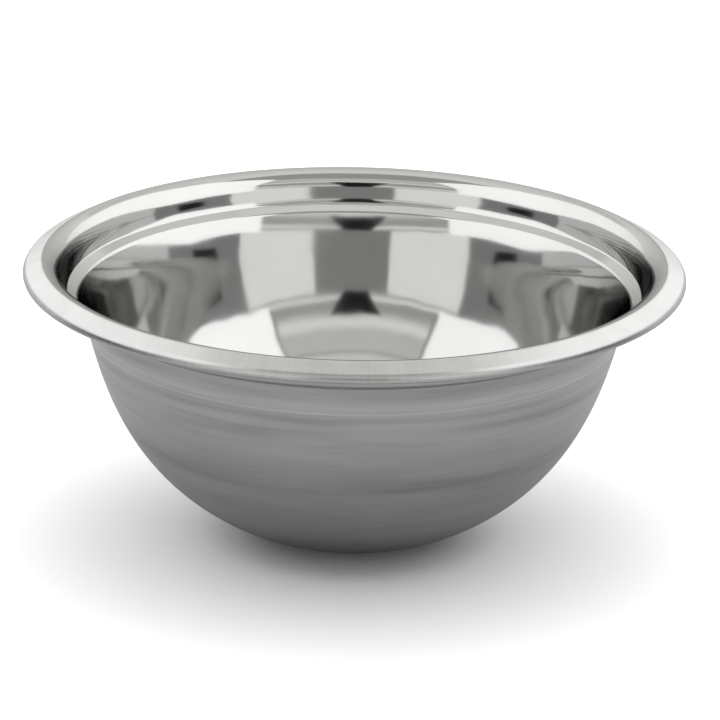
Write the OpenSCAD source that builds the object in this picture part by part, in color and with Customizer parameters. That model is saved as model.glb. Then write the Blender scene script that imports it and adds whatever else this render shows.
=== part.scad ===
// Stainless steel mixing bowl: one pressed sheet with a flat base, a round wall that flares
// under a step, a leaning neck and a sloping rim whose edge is rolled under.
//
// The sheet is described by stations [r, z, heading] on its outer face, from the middle of
// the base to the rolled edge. A heading of 0 points outward and 90 points up. The inner
// face lies one sheet thickness to the left of the outer one.

/* [Overall] */
// Diameter over the rolled edge
rim_d = 260; // [255:1:290]
// Height from the base to the crest of the rim
bowl_h = 113; // [108:1:120]
// Thickness of the steel sheet
sheet = 0.8; // [0.5:0.1:1]

/* [Base] */
// Diameter of the flat base
flat_d = 46; // [36:1:60]
// Radius of the heel that turns the base up into the wall
heel_r = 25; // [10:1:40]
// Slope of the wall where it leaves the heel, in degrees
heel_slope = 16; // [8:0.5:20]

/* [Wall] */
// Lean of the wall from the vertical at the crease, in degrees
wall_lean = 16; // [12:0.5:19]
// Fullness of the wall near the base
wall_low_pull = 62; // [50:0.5:70]
// Fullness of the wall near the crease
wall_top_pull = 18.5; // [14:0.5:26]
// Height of the crease where the wall starts to flare out
crease_h = 85.5; // [80:0.5:90]
// Lean of the flare from the vertical just under the step, in degrees
flare_lean = 24; // [21:0.5:30]

/* [Step and neck] */
// Radius of the bend from the flare into the shelf of the step
step_low_r = 1.6; // [1.2:0.1:3]
// Width of the shelf along its slope
shelf_l = 3.5; // [2.5:0.1:6]
// Rise of the shelf above the level, in degrees
shelf_rise = 26; // [15:1:40]
// Radius of the bend from the shelf into the neck
step_top_r = 1.9; // [1.2:0.1:3]
// Radius of the two slow bends that make the neck
neck_bend_r = 27; // [20:1:36]
// Lean of the neck from the vertical at its middle, in degrees
neck_lean = 14; // [10:0.5:18]
// Lean of the neck from the vertical at its ends, in degrees
neck_end_lean = 23; // [20:0.5:27]

/* [Rim] */
// Radius at the crest of the rim
crest_r = 122.6; // [121:0.2:123.4]
// Radius of the bend from the neck to the crest
lip_r = 6.7; // [4:0.1:8]
// Radius of the bend at the crest
crest_bend_r = 1; // [0.8:0.1:2]
// Slope of the flange outside the crest, in degrees
flange_slope = 27.5; // [20:0.5:35]
// Outer radius of the shoulder where the flange turns down
shoulder_r = 2.9; // [2:0.1:3.4]
// Outer radius of the edge rolled under the shoulder
roll_r = 1.3; // [1.1:0.1:1.6]

/* [Hidden] */
rim_r = rim_d / 2;
wall_up = 90 - wall_lean;
flare_up = 90 - flare_lean;
neck_up = 90 - neck_lean;
neck_end_up = 90 - neck_end_lean;
straight_down = -90;
roll_end = -180;
smooth = 180;

wall_steps = 42;
wall_third = wall_steps / 3;

// Unit vectors along a heading and to its left, and the point of a station
function ahead(a) = [cos(a), sin(a)];
function left(a) = [-sin(a), cos(a)];
function point(s) = [s[0], s[1]];
function station(p, a) = [p[0], p[1], a];

// A bend that turns right about a centre, and one that turns left
function right_bend(centre, r, from, to, steps) = [
    for (i = [0:steps])
        let (a = from + (to - from) * i / steps)
        station(centre + r * left(a), a)
];
function left_bend(centre, r, from, to, steps) = right_bend(centre, -r, from, to, steps);

// A cubic curve that leaves p at heading a and reaches q at heading b
function curve(p, a, pull_p, q, b, pull_q, steps) =
    let (p1 = p + pull_p * ahead(a), q1 = q - pull_q * ahead(b))
    [
        for (i = [0:steps])
            let (
                t = i / steps,
                u = 1 - t,
                at = u * u * u * p + 3 * u * u * t * p1 + 3 * u * t * t * q1 + t * t * t * q,
                dir = u * u * (p1 - p) + 2 * u * t * (q1 - p1) + t * t * (q - q1)
            )
            station(at, atan2(dir[1], dir[0]))
    ];

// The rim is laid out outward from the neck, about the crest.
lip_centre = [crest_r, bowl_h - sheet - lip_r];
lip = right_bend(lip_centre, lip_r, neck_end_up, 0, 12);
crest_centre = [crest_r, bowl_h - sheet - crest_bend_r];
crest = right_bend(crest_centre, crest_bend_r, 0, -flange_slope, 4);
crest_end = point(crest[len(crest) - 1]);
shoulder_in = shoulder_r - sheet;
shoulder_start = crest_end - shoulder_in * left(-flange_slope);
flange_l = (rim_r - shoulder_r - shoulder_start[0]) / cos(flange_slope);
shoulder_centre = shoulder_start + flange_l * ahead(-flange_slope);
shoulder = right_bend(shoulder_centre, shoulder_in, -flange_slope, straight_down, 8);
roll_in = roll_r - sheet;
roll_centre = shoulder_centre + [shoulder_in - roll_in, 0];
roll = right_bend(roll_centre, roll_in, straight_down, roll_end, 8);

// The neck and the step are laid out downward from the rim.
neck_high_centre = point(lip[0]) - neck_bend_r * left(neck_end_up);
neck_high = right_bend(neck_high_centre, neck_bend_r, neck_up, neck_end_up, 6);
neck_low_centre = point(neck_high[0]) + neck_bend_r * left(neck_up);
neck_low = left_bend(neck_low_centre, neck_bend_r, neck_end_up, neck_up, 6);
step_top_centre = point(neck_low[0]) + step_top_r * left(neck_end_up);
step_top = left_bend(step_top_centre, step_top_r, shelf_rise, neck_end_up, 6);
shelf_foot = point(step_top[0]) - shelf_l * ahead(shelf_rise);
step_low_centre = shelf_foot - step_low_r * left(shelf_rise);
step_low = right_bend(step_low_centre, step_low_r, flare_up, shelf_rise, 6);

// The flare is a slow bend from the crease to the foot of the step.
flare_top = point(step_low[0]);
flare_r = (flare_top[1] - crease_h) / (cos(flare_up) - cos(wall_up));
flare_centre = flare_top - flare_r * left(flare_up);
flare = right_bend(flare_centre, flare_r, wall_up, flare_up, 8);

// The wall joins the heel to the crease.
heel = left_bend([flat_d / 2, heel_r], heel_r, 0, heel_slope, 6);
heel_end = point(heel[len(heel) - 1]);
wall_top = point(flare[0]);
wall = curve(heel_end, heel_slope, wall_low_pull, wall_top, wall_up, wall_top_pull, wall_steps);

// A length of the sheet, turned about the bowl's axis
module formed_sheet(line) {
    outer = [for (s = line) point(s)];
    inner = [for (i = [len(line) - 1:-1:0]) point(line[i]) + sheet * left(line[i][2])];
    rotate_extrude($fn = smooth) polygon(concat(outer, inner));
}

module base_disc() {
    color("gainsboro") formed_sheet(concat([[0, 0, 0]], heel));
}

// One third of the wall's stations, counted from the base
module wall_ring(third) {
    first = third * wall_third;
    color("silver") formed_sheet([for (i = [first:first + wall_third]) wall[i]]);
}

module lower_wall() {
    wall_ring(0);
}

module middle_wall() {
    wall_ring(1);
}

module upper_wall() {
    wall_ring(2);
}

module flare_band() {
    color("gainsboro") formed_sheet(flare);
}

module step_ring() {
    color("darkgray") formed_sheet(concat(step_low, step_top));
}

module neck_band() {
    above_middle = [for (i = [1:len(neck_high) - 1]) neck_high[i]];
    color("silver") formed_sheet(concat(neck_low, above_middle));
}

module rim_lip() {
    color("gainsboro") formed_sheet(lip);
}

module rim_flange() {
    color("lightgray") formed_sheet(concat(crest, [shoulder[0]]));
}

module rolled_edge() {
    under = [for (s = roll) if (s[2] < straight_down) s];
    color("whitesmoke") formed_sheet(concat(shoulder, under));
}

base_disc();
lower_wall();
middle_wall();
upper_wall();
flare_band();
step_ring();
neck_band();
rim_lip();
rim_flange();
rolled_edge();
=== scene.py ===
# A stainless steel mixing bowl on a pale floor, in soft studio light.
# The bowl is one formed sheet. Its profile is followed as stations, each a point (radius, height)
# on the sheet's outer face with the heading of the sheet there, and turned about the bowl's axis.
# Sizes are in metres and angles in degrees.
import bpy
import math
import numpy as np
from mathutils import Matrix, Vector


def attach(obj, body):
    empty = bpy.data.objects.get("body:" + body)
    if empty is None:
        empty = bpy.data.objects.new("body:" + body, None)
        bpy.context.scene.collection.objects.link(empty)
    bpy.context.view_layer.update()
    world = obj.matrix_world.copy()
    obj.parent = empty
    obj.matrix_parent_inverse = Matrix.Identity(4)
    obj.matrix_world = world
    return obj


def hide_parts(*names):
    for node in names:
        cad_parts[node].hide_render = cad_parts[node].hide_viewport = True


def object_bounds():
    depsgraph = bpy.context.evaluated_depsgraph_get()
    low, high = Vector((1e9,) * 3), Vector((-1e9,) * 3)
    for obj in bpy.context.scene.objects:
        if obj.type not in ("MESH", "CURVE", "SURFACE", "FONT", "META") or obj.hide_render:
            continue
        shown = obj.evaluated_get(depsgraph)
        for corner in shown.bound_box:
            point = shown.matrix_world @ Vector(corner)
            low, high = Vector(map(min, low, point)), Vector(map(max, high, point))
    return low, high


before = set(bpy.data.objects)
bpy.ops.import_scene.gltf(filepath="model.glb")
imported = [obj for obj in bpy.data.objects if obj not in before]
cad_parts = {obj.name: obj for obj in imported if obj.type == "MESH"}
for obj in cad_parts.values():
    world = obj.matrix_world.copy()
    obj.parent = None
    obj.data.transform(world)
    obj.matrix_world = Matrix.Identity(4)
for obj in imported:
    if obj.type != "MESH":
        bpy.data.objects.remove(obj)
CAD_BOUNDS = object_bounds()

# ---------------------------------------------------------------- driving sizes
BOWL_H = CAD_BOUNDS[1][2]
RIM_R = -CAD_BOUNDS[0][0]
SHEET = 0.0008

# the flat base, and the heel that turns it up into the wall
FLAT_R = 0.023
HEEL_R = 0.025
HEEL_SLOPE = 16.0

# the wall up to its crease, and the flare above it; a lean is measured from the vertical
WALL_LEAN = 16.0
WALL_LOW_PULL = 0.062
WALL_TOP_PULL = 0.0185
CREASE_H = 0.0855
FLARE_LEAN = 24.0

# the step's two tight bends and the shelf between them
STEP_LOW_R = 0.0016
SHELF_L = 0.0035
SHELF_RISE = 26.0
STEP_TOP_R = 0.0019

# the neck's two slow bends, and its lean at the middle and at the ends
NECK_BEND_R = 0.027
NECK_LEAN = 14.0
NECK_END_LEAN = 23.0

# the rim: crest, sloping flange, shoulder and the edge rolled under it
CREST_R = 0.1226
LIP_R = 0.0067
CREST_BEND_R = 0.001
FLANGE_SLOPE = 27.5
SHOULDER_R = 0.0029
ROLL_R = 0.0013

# ---------------------------------------------------------------- how finely the sheet is cut
TURNS = 360
WALL_STEPS = 30
FLAT_STEPS = 8
HEEL_STEPS = 12
BEND_STEPS = 16
SHELF_STEPS = 4
NECK_STEPS = 10
LIP_STEPS = 24
CREST_STEPS = 8
FLANGE_STEPS = 6
ON_AXIS = 1e-7


# ---------------------------------------------------------------- the sheet's profile
def ahead(a):
    """One unit along a heading: 0 points outward and 90 points up."""
    return Vector((math.cos(math.radians(a)), math.sin(math.radians(a))))


def left(a):
    """One unit to the left of a heading, which is toward the inner face."""
    return Vector((-math.sin(math.radians(a)), math.cos(math.radians(a))))


def straight(start, heading, length, steps):
    """Stations along a straight run."""
    return [(start + ahead(heading) * length * i / steps, heading) for i in range(steps + 1)]


def bend(centre, radius, start, end, steps):
    """Stations along a bend. The radius is above 0 where the sheet turns right."""
    headings = [start + (end - start) * i / steps for i in range(steps + 1)]
    return [(centre + radius * left(a), a) for a in headings]


def curve(p, a, pull_p, q, b, pull_q, steps):
    """Stations along the cubic curve that leaves p at heading a and reaches q at heading b."""
    p1 = p + pull_p * ahead(a)
    q1 = q - pull_q * ahead(b)
    stations = []
    for i in range(steps + 1):
        t = i / steps
        u = 1 - t
        at = u**3 * p + 3 * u * u * t * p1 + 3 * u * t * t * q1 + t**3 * q
        way = u * u * (p1 - p) + 2 * u * t * (q1 - p1) + t * t * (q - q1)
        stations.append((at, math.degrees(math.atan2(way.y, way.x))))
    return stations


def zones():
    """Each piece of the sheet: its stations, and the finishes of its inner and outer face."""
    wall_up = 90 - WALL_LEAN
    flare_up = 90 - FLARE_LEAN
    neck_up = 90 - NECK_LEAN
    neck_end_up = 90 - NECK_END_LEAN
    straight_down = -90
    roll_end = -180

    # the rim, outward from its crest
    crest_h = BOWL_H - SHEET
    lip = bend(Vector((CREST_R, crest_h - LIP_R)), LIP_R, neck_end_up, 0, LIP_STEPS)
    centre = Vector((CREST_R, crest_h - CREST_BEND_R))
    crest = bend(centre, CREST_BEND_R, 0, -FLANGE_SLOPE, CREST_STEPS)
    inside = SHOULDER_R - SHEET
    start = crest[-1][0] - inside * left(-FLANGE_SLOPE)
    flange_l = (RIM_R - SHOULDER_R - start.x) / math.cos(math.radians(FLANGE_SLOPE))
    centre = start + flange_l * ahead(-FLANGE_SLOPE)
    flange = straight(crest[-1][0], -FLANGE_SLOPE, flange_l, FLANGE_STEPS)
    shoulder = bend(centre, inside, -FLANGE_SLOPE, straight_down, BEND_STEPS)
    tight = ROLL_R - SHEET
    centre = centre + Vector((inside - tight, 0))
    roll = bend(centre, tight, straight_down, roll_end, BEND_STEPS)

    # the neck, the step and the flare, downward from the rim
    centre = lip[0][0] - NECK_BEND_R * left(neck_end_up)
    neck_high = bend(centre, NECK_BEND_R, neck_up, neck_end_up, NECK_STEPS)
    centre = neck_high[0][0] + NECK_BEND_R * left(neck_up)
    neck_low = bend(centre, -NECK_BEND_R, neck_end_up, neck_up, NECK_STEPS)
    centre = neck_low[0][0] + STEP_TOP_R * left(neck_end_up)
    step_top = bend(centre, -STEP_TOP_R, SHELF_RISE, neck_end_up, BEND_STEPS)
    shelf_foot = step_top[0][0] - SHELF_L * ahead(SHELF_RISE)
    shelf = straight(shelf_foot, SHELF_RISE, SHELF_L, SHELF_STEPS)
    centre = shelf_foot - STEP_LOW_R * left(SHELF_RISE)
    step_low = bend(centre, STEP_LOW_R, flare_up, SHELF_RISE, BEND_STEPS)
    flare_top = step_low[0][0]
    flare_r = (flare_top.y - CREASE_H) / (ahead(flare_up).x - ahead(wall_up).x)
    flare = bend(flare_top - flare_r * left(flare_up), flare_r, wall_up, flare_up, BEND_STEPS)

    # the base, and the wall that joins it to the flare
    flat = straight(Vector((0, 0)), 0, FLAT_R, FLAT_STEPS)
    heel = bend(Vector((FLAT_R, HEEL_R)), -HEEL_R, 0, HEEL_SLOPE, HEEL_STEPS)
    wall = curve(
        heel[-1][0], HEEL_SLOPE, WALL_LOW_PULL,
        flare[0][0], wall_up, WALL_TOP_PULL, 3 * WALL_STEPS)
    return {
        "base_disc": (flat + heel[1:], "mirror", "spun"),
        "lower_wall": (wall[:WALL_STEPS + 1], "mirror", "spun"),
        "middle_wall": (wall[WALL_STEPS:2 * WALL_STEPS + 1], "mirror", "spun"),
        "upper_wall": (wall[2 * WALL_STEPS:], "mirror", "spun"),
        "flare_band": (flare, "mirror", "spun"),
        "step_ring": (step_low + shelf[1:] + step_top[1:], "mirror", "spun"),
        "neck_band": (neck_low + neck_high[1:], "mirror", "spun"),
        "rim_lip": (lip, "mirror", "spun"),
        "rim_flange": (crest + flange[1:], "brushed", "spun"),
        "rolled_edge": (shoulder + roll[1:], "brushed", "brushed"),
    }


def turned(name, stations, inner_finish, outer_finish, finishes):
    """A closed solid of the sheet, turned about the axis: both its faces and both its ends."""
    inner_kind, outer_kind = 0, 1
    angles = 2 * math.pi * np.arange(TURNS) / TURNS
    cosine, sine = np.cos(angles), np.sin(angles)
    points, polygons, kinds, normals = [], [], [], []

    def ring(p):
        """The indices of the points of one ring, or the one point where it meets the axis."""
        first = len(points)
        if p.x < ON_AXIS:
            points.append((0.0, 0.0, p.y))
            return [first] * TURNS
        points.extend(zip(p.x * cosine, p.x * sine, [p.y] * TURNS))
        return list(range(first, first + TURNS))

    def band(a, b, normal_a, normal_b, kind):
        """The faces between two rings, with the way each ring's surface faces."""
        for k in range(TURNS):
            m = (k + 1) % TURNS
            corners = [(a[k], normal_a, k), (a[m], normal_a, m)]
            corners += [(b[m], normal_b, m), (b[k], normal_b, k)]
            if a[k] == a[m]:
                corners = corners[1:]
            elif b[k] == b[m]:
                corners = corners[:3]
            polygons.append([c[0] for c in corners])
            kinds.append(kind)
            normals.extend((n.x * cosine[j], n.x * sine[j], n.y) for _, n, j in corners)

    outers = [ring(p) for p, _ in stations]
    inners = [ring(p + SHEET * left(a)) for p, a in stations]
    sideways = [left(a) for _, a in stations]
    for i in range(1, len(stations)):
        band(outers[i - 1], outers[i], -sideways[i - 1], -sideways[i], outer_kind)
        band(inners[i], inners[i - 1], sideways[i], sideways[i - 1], inner_kind)
    start, end = ahead(stations[0][1]), ahead(stations[-1][1])
    if stations[0][0].x > ON_AXIS:
        band(inners[0], outers[0], -start, -start, outer_kind)
    band(outers[-1], inners[-1], end, end, outer_kind)

    mesh = bpy.data.meshes.new(name)
    mesh.from_pydata(points, [], polygons)
    mesh.polygons.foreach_set("material_index", kinds)
    mesh.polygons.foreach_set("use_smooth", [True] * len(polygons))
    mesh.materials.append(finishes[inner_finish])
    mesh.materials.append(finishes[outer_finish])
    mesh.normals_split_custom_set(normals)
    piece = bpy.data.objects.new(name, mesh)
    bpy.context.scene.collection.objects.link(piece)
    return piece


# ---------------------------------------------------------------- node helpers
class Tree:
    """Short calls for building one node tree."""

    def __init__(self, tree):
        self.tree = tree
        tree.nodes.clear()

    def put(self, socket, value):
        """Link an output to the socket, or set the socket's own value."""
        if hasattr(value, "is_linked"):
            self.tree.links.new(value, socket)
        else:
            socket.default_value = value

    def node(self, kind, settings=None, **inputs):
        """A node with its settings, and its inputs by name."""
        n = self.tree.nodes.new(kind)
        for key, value in (settings or {}).items():
            setattr(n, key, value)
        for key, value in inputs.items():
            self.put(n.inputs[key.replace("_", " ")], value)
        return n

    def math(self, operation, a, b=0.0):
        n = self.tree.nodes.new("ShaderNodeMath")
        n.operation = operation
        self.put(n.inputs[0], a)
        self.put(n.inputs[1], b)
        return n.outputs[0]

    def noise(self, vector, scale, detail):
        return self.node("ShaderNodeTexNoise", Vector=vector, Scale=scale, Detail=detail).outputs["Fac"]

    def spread(self, value, low, high, to_low, to_high, smooth=False):
        """The value carried from low..high to to_low..to_high, and held at both ends."""
        n = self.tree.nodes.new("ShaderNodeMapRange")
        if smooth:
            n.interpolation_type = "SMOOTHSTEP"
        for i, v in enumerate((value, low, high, to_low, to_high)):
            self.put(n.inputs[i], v)
        return n.outputs[0]

    def mix(self, fac, a, b):
        """Colour a where the factor is 0 and colour b where it is 1."""
        n = self.tree.nodes.new("ShaderNodeMix")
        n.data_type = "RGBA"
        sockets = {s.identifier: s for s in n.inputs}
        self.put(sockets["Factor_Float"], fac)
        self.put(sockets["A_Color"], a)
        self.put(sockets["B_Color"], b)
        return next(s for s in n.outputs if s.identifier == "Result_Color")


def place(t):
    """The object's own point, its radius, its height, and the direction out from the axis."""
    point = t.node("ShaderNodeTexCoord").outputs["Object"]
    xyz = t.node("ShaderNodeSeparateXYZ", Vector=point)
    x, y, z = xyz.outputs
    flat = t.node("ShaderNodeCombineXYZ", X=x, Y=y, Z=0.0).outputs[0]
    length = t.node("ShaderNodeVectorMath", {"operation": "LENGTH"})
    t.put(length.inputs[0], flat)
    radius = length.outputs["Value"]
    way = t.node("ShaderNodeVectorMath", {"operation": "NORMALIZE"})
    t.put(way.inputs[0], flat)
    return point, radius, z, way.outputs[0]


# ---------------------------------------------------------------- finishes
# The colour of each finish, and its least and greatest roughness.
MIRROR_COLOUR = (0.54, 0.537, 0.528)
MIRROR_ROUGHNESS = (0.07, 0.115)
SPUN_COLOUR = (0.525, 0.525, 0.522)
SPUN_ROUGHNESS = (0.29, 0.36)
BRUSHED_COLOUR = (0.51, 0.51, 0.504)
BRUSHED_ROUGHNESS = (0.29, 0.34)

# Nearly all of a noise lies between these two values.
NOISE_LOW = 0.3
NOISE_HIGH = 0.7

# Painted bands of reflected shade and light round the wall, standing in for the floor's shade and
# its lit edge seen in the steel: height, half width, and how much darker, or lighter where it is below
# 0.
PAINTED_REFLECTION_BANDS = (
    (0.0935, 0.0050, 0.12),
    (0.0882, 0.0024, -0.20),
    (0.0818, 0.0034, 0.20),
    (0.0745, 0.0055, 0.21),
    (0.0510, 0.0075, 0.17),
)
# How strongly a band shows, from the most to the least, as the broad noise goes from low to high.
PATCH_NOISE = (0.25, 0.6)
PATCH_SHARE = (1.25, 0.35)
# The painted highlight along the crease: its half width, and how much lighter.
CREASE_HALF = 0.0005
CREASE_PAINTED_HIGHLIGHT = 0.22


def steel(name, anisotropic, turn):
    """A metal surface, with the direction of its brushing given about the bowl's axis."""
    material = bpy.data.materials.new(name)
    material.use_nodes = True
    t = Tree(material.node_tree)
    shader = t.node("ShaderNodeBsdfPrincipled", Metallic=1.0)
    shader.inputs["Anisotropic"].default_value = anisotropic
    shader.inputs["Anisotropic Rotation"].default_value = turn
    if anisotropic > 0:
        tangent = t.node("ShaderNodeTangent", {"direction_type": "RADIAL", "axis": "Z"})
        t.put(shader.inputs["Tangent"], tangent.outputs[0])
    out = t.node("ShaderNodeOutputMaterial")
    t.put(out.inputs["Surface"], shader.outputs[0])
    return material, t, shader


def tinted(t, colour, tone):
    """The colour made lighter or darker by a tone."""
    grey = t.node("ShaderNodeVectorMath", {"operation": "SCALE"}, Scale=tone)
    grey.inputs[0].default_value = colour
    return grey.outputs[0]


def mirror_steel():
    """Polished steel with a slight waviness from the press and a faint haze from wiping."""
    edge_tint = (0.3, 0.3, 0.3, 1)
    haze_low, haze_high = 0.35, 0.7
    material, t, shader = steel("polished_steel_inside", 0.0, 0.0)
    shader.inputs["Specular Tint"].default_value = edge_tint
    point, _, _, _ = place(t)
    haze = t.noise(point, 30.0, 4.0)
    tone = t.spread(haze, haze_low, haze_high, 0.97, 1.03)
    t.put(shader.inputs["Base Color"], tinted(t, MIRROR_COLOUR, tone))
    t.put(shader.inputs["Roughness"], t.spread(haze, haze_low, haze_high, *MIRROR_ROUGHNESS))
    wave = t.noise(point, 32.0, 2.0)
    bump = t.node("ShaderNodeBump", Strength=0.06, Distance=0.004, Height=wave)
    t.put(shader.inputs["Normal"], bump.outputs[0])
    return material


def spun_steel():
    """Satin steel with fine lines round the bowl, painted bands of reflected shade and light, and a
    painted highlight along the crease.
    """
    radius_share = 0.6
    material, t, shader = steel("spun_steel_outside", 0.5, 0.0)
    _, radius, z, way = place(t)
    along = t.math("ADD", z, t.math("MULTIPLY", radius, radius_share))
    xyz = t.node("ShaderNodeSeparateXYZ", Vector=way)

    def lines(pitch, sweep, detail):
        """Noise in rows of the given pitch, which changes slowly round the bowl."""
        rows = t.math("MULTIPLY", along, 1 / pitch)
        cx = t.math("MULTIPLY", xyz.outputs[0], sweep)
        cy = t.math("MULTIPLY", xyz.outputs[1], sweep)
        vector = t.node("ShaderNodeCombineXYZ", X=cx, Y=cy, Z=rows).outputs[0]
        return t.noise(vector, 1.0, detail)

    fine = lines(0.0013, 3.0, 1.0)
    broad = lines(0.007, 1.8, 1.0)
    fine_tone = t.spread(fine, NOISE_LOW, NOISE_HIGH, 0.955, 1.045)
    broad_tone = t.spread(broad, NOISE_LOW, NOISE_HIGH, -0.05, 0.05)
    tone = t.math("ADD", fine_tone, broad_tone)
    # painted bands of reflected shade and light round the wall, made patchy by the broad noise
    for height, half, depth in PAINTED_REFLECTION_BANDS:
        off = t.math("ABSOLUTE", t.math("SUBTRACT", z, height))
        band = t.spread(off, 0.0, half, depth, 0.0, True)
        patchy = t.math("MULTIPLY", band, t.spread(broad, *PATCH_NOISE, *PATCH_SHARE))
        tone = t.math("SUBTRACT", tone, patchy)
    # a painted highlight along the crease
    off = t.math("ABSOLUTE", t.math("SUBTRACT", z, CREASE_H))
    tone = t.math("ADD", tone, t.spread(off, 0.0, CREASE_HALF, CREASE_PAINTED_HIGHLIGHT, 0.0, True))
    t.put(shader.inputs["Base Color"], tinted(t, SPUN_COLOUR, tone))
    t.put(shader.inputs["Roughness"], t.spread(broad, NOISE_LOW, NOISE_HIGH, *SPUN_ROUGHNESS))
    return material


def brushed_steel():
    """Satin steel with fine streaks across the rim."""
    material, t, shader = steel("brushed_steel_rim", 0.4, 0.25)
    _, radius, _, way = place(t)

    def streaks(round_scale, across_scale):
        """Noise that changes fast round the rim and slowly across it."""
        scaled = t.node("ShaderNodeVectorMath", {"operation": "SCALE"}, Scale=round_scale)
        t.put(scaled.inputs[0], way)
        x, y, _ = t.node("ShaderNodeSeparateXYZ", Vector=scaled.outputs[0]).outputs
        across = t.math("MULTIPLY", radius, across_scale)
        vector = t.node("ShaderNodeCombineXYZ", X=x, Y=y, Z=across).outputs[0]
        return t.noise(vector, 1.0, 0.0)

    fine = streaks(95.0, 30.0)
    slow = streaks(14.0, 90.0)
    fine_tone = t.spread(fine, NOISE_LOW, NOISE_HIGH, 0.975, 1.025)
    slow_tone = t.spread(slow, NOISE_LOW, NOISE_HIGH, -0.03, 0.03)
    t.put(shader.inputs["Base Color"], tinted(t, BRUSHED_COLOUR, t.math("ADD", fine_tone, slow_tone)))
    t.put(shader.inputs["Roughness"], t.spread(fine, NOISE_LOW, NOISE_HIGH, *BRUSHED_ROUGHNESS))
    return material


# ---------------------------------------------------------------- the studio
def add_camera():
    """A long lens, above the rim and turned very slightly, as the picture was taken."""
    elevation = math.radians(19.31)
    roll = math.radians(1.02)
    distance = 1.778
    aim = Vector((0.0027, 0, 0.0706))
    look = Vector((0, math.cos(elevation), -math.sin(elevation)))
    data = bpy.data.cameras.new("camera")
    data.lens = 225.0
    data.sensor_width = 36.0
    data.clip_end = 50.0
    camera = bpy.data.objects.new("camera", data)
    moved = Matrix.Translation(aim - distance * look)
    upright = look.to_track_quat("-Z", "Y").to_matrix().to_4x4()
    camera.matrix_world = moved @ upright @ Matrix.Rotation(roll, 4, "Z")
    bpy.context.scene.collection.objects.link(camera)
    bpy.context.scene.camera = camera


def add_floor():
    """A pale round floor, which the steel sees darker than the camera does."""
    sides = 64
    radius = 12.0
    to_steel = (0.42, 0.42, 0.42, 1)
    to_camera = (0.93, 0.93, 0.93, 1)
    mesh = bpy.data.meshes.new("floor")
    turns = [2 * math.pi * k / sides for k in range(sides)]
    ring = [(radius * math.cos(a), radius * math.sin(a), 0) for a in turns]
    mesh.from_pydata(ring, [], [list(range(sides))])
    floor = bpy.data.objects.new("floor", mesh)
    bpy.context.scene.collection.objects.link(floor)
    material = bpy.data.materials.new("floor_paper")
    material.use_nodes = True
    t = Tree(material.node_tree)
    seen = t.node("ShaderNodeLightPath").outputs["Is Camera Ray"]
    paper = t.node("ShaderNodeBsdfDiffuse", Color=t.mix(seen, to_steel, to_camera))
    out = t.node("ShaderNodeOutputMaterial")
    t.put(out.inputs["Surface"], paper.outputs[0])
    mesh.materials.append(material)


# Panels of the studio as seen from the bowl: azimuth from the front (to the right above 0) and
# elevation, each as (start, end), then the brightness and the width of the soft edge. A later
# panel covers the ones before it.
PANELS = (
    # the walls of the tent, the front one's top edge, and the grey card before its middle
    ("back_wall", (-190, 190), (-30, 34), 1.30, 6.0),
    ("side_wall", (-130, 130), (-30, 30), 0.50, 8.0),
    ("front_wall", (-51.5, 52.5), (-30, 21.3), 1.18, 1.2),
    ("front_edge", (-51.5, 52.5), (21.3, 22.2), 0.60, 0.6),
    ("front_strip", (-51.5, 52.5), (22.2, 24), 1.10, 0.8),
    ("front_card", (-15.5, 18.5), (-30, 21.5), 0.33, 1.5),
    # the roof and the top of the back wall, then the lamp above the front and its frame
    ("roof_back", (-190, 190), (58, 91), 1.05, 6.0),
    ("back_left", (-190, -130), (34, 60), 1.00, 8.0),
    ("back_right", (130, 190), (34, 60), 1.00, 8.0),
    ("roof_front", (-100, 100), (56, 91), 0.50, 8.0),
    ("roof_edge", (-40, 40), (44.5, 46), 0.50, 1.5),
    ("roof_lamp", (-40, 40), (46, 51), 0.95, 3.0),
    ("left_frame", (-42.5, -40.5), (24, 60), 0.40, 1.2),
    ("right_frame", (40.5, 42.5), (24, 60), 0.40, 1.2),
)
# The sky between the panels, as elevations from and to, then the brightness added or taken away
# below and above them.
SKY_RISE = (22.0, 44.0, 0.62, 0.80)
SKY_FALL = (46.0, 56.0, 0.0, 0.30)
# The share of blue, which warms all the panels a little.
BLUE_SHARE = 0.985

# The camera's dark hood widens upward. Its sides are in degrees of azimuth for each degree of
# height above its foot.
HOOD_FOOT = 14.0
HOOD_SIDES = (-0.88, 0.78)
HOOD_SIDE_SOFT = 0.12
HOOD_HEIGHT = (21.2, 29.2)
HOOD_HEIGHT_SOFT = 1.2
HOOD_BRIGHT = 0.008

# The two side walls of the tent stand close to the bowl. Each side has its sign along x and its
# share of the brightness.
SIDE_WALL_X = 0.40
SIDES = (("left", -1, 0.95), ("right", 1, 1.0))
# The flat cards of a side wall: brightness, how far a card stands in front of the wall, and its
# outline as (y, z) points.
CARDS = (
    ("softbox", 1.72, 0.0, ((-0.38, 0.33), (-0.02, 0.212), (0.85, 0.212), (0.85, 1.0), (-0.38, 1.0))),
    ("flag", 0.30, 0.0, ((-0.25, 0.0), (0.06, 0.0), (0.06, 0.20), (-0.02, 0.21), (-0.25, 0.285))),
    ("gap", 0.01, 0.003, ((-0.16, 0.09), (-0.04, 0.09), (-0.04, 0.19), (-0.13, 0.20))),
    ("wall", 0.8, 0.0, ((0.06, 0.10), (0.85, 0.10), (0.85, 0.21), (0.06, 0.21))),
)

# The wide soft light from above. The steel doesn't mirror it, so it lights only the floor.
OVERHEAD_STRENGTH = 2.5
OVERHEAD_SPREAD = 90


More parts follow.
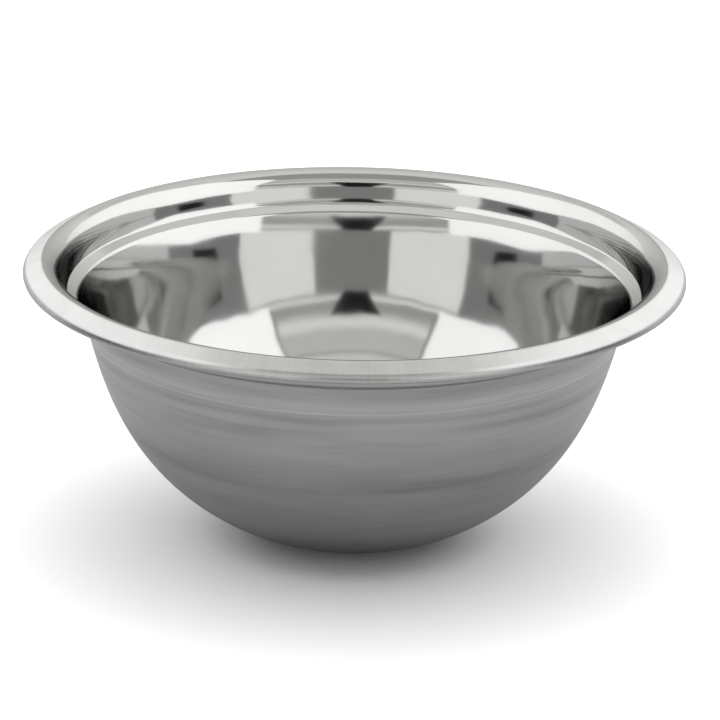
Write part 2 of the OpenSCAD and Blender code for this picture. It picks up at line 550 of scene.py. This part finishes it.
def add_card(name, x, outline, bright):
    """A flat glowing card beside the bowl, which only the steel and the floor see."""
    mesh = bpy.data.meshes.new(name)
    mesh.from_pydata([(x, y, z) for y, z in outline], [], [list(range(len(outline)))])
    card = bpy.data.objects.new(name, mesh)
    bpy.context.scene.collection.objects.link(card)
    card.visible_camera = False
    card.visible_shadow = False
    material = bpy.data.materials.new(name)
    material.use_nodes = True
    t = Tree(material.node_tree)
    glow = t.node("ShaderNodeEmission", Strength=bright)
    out = t.node("ShaderNodeOutputMaterial")
    t.put(out.inputs["Surface"], glow.outputs[0])
    mesh.materials.append(material)


def add_studio():
    """The room as bright and dark panels by direction, which the steel mirrors."""
    world = bpy.data.worlds.new("studio")
    bpy.context.scene.world = world
    world.use_nodes = True
    t = Tree(world.node_tree)
    way = t.node("ShaderNodeTexCoord").outputs["Generated"]
    x, y, z = t.node("ShaderNodeSeparateXYZ", Vector=way).outputs
    azimuth = t.math("MULTIPLY", t.math("ARCTAN2", x, t.math("MULTIPLY", y, -1.0)), 180 / math.pi)
    elevation = t.math("MULTIPLY", t.math("ARCSINE", z), 180 / math.pi)

    def within(value, span, soft):
        """1 inside the span and 0 outside it, with soft edges."""
        low = t.spread(value, span[0] - soft / 2, span[0] + soft / 2, 0.0, 1.0, True)
        high = t.spread(value, span[1] - soft / 2, span[1] + soft / 2, 1.0, 0.0, True)
        return t.math("MULTIPLY", low, high)

    def over(level, mask, bright):
        """The level, with the brightness put over it where the mask is 1."""
        kept = t.math("MULTIPLY", level, t.math("SUBTRACT", 1.0, mask))
        return t.math("ADD", kept, t.math("MULTIPLY", mask, bright))

    sky_rise = t.spread(elevation, *SKY_RISE, True)
    sky_fall = t.spread(elevation, *SKY_FALL, True)
    level = t.math("SUBTRACT", sky_rise, sky_fall)
    for _, across, height, bright, soft in PANELS:
        panel = t.math("MULTIPLY", within(azimuth, across, soft), within(elevation, height, soft))
        level = over(level, panel, bright)
    slope = t.math("DIVIDE", azimuth, t.math("SUBTRACT", elevation, HOOD_FOOT))
    hood_across = within(slope, HOOD_SIDES, HOOD_SIDE_SOFT)
    hood_up = within(elevation, HOOD_HEIGHT, HOOD_HEIGHT_SOFT)
    level = over(level, t.math("MULTIPLY", hood_across, hood_up), HOOD_BRIGHT)
    blue = t.math("MULTIPLY", level, BLUE_SHARE)
    colour = t.node("ShaderNodeCombineColor", Red=level, Green=level, Blue=blue)
    background = t.node("ShaderNodeBackground", Color=colour.outputs[0], Strength=1.0)
    out = t.node("ShaderNodeOutputWorld")
    t.put(out.inputs["Surface"], background.outputs[0])

    for side, sign, share in SIDES:
        for card, bright, proud, outline in CARDS:
            add_card(side + "_" + card, sign * (SIDE_WALL_X - proud), outline, share * bright)

    data = bpy.data.lights.new("overhead", "SUN")
    data.energy = OVERHEAD_STRENGTH
    data.angle = math.radians(OVERHEAD_SPREAD)
    lamp = bpy.data.objects.new("overhead", data)
    lamp.visible_glossy = False
    bpy.context.scene.collection.objects.link(lamp)


# ---------------------------------------------------------------- the scene
add_camera()
add_floor()
add_studio()
bpy.context.scene.view_settings.view_transform = "Standard"

FINISHES = {"mirror": mirror_steel(), "spun": spun_steel(), "brushed": brushed_steel()}
for node_name, (line, inner_face, outer_face) in zones().items():
    part = turned(node_name + "_sheet", line, inner_face, outer_face, FINISHES)
    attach(part, "root")
    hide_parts(node_name)
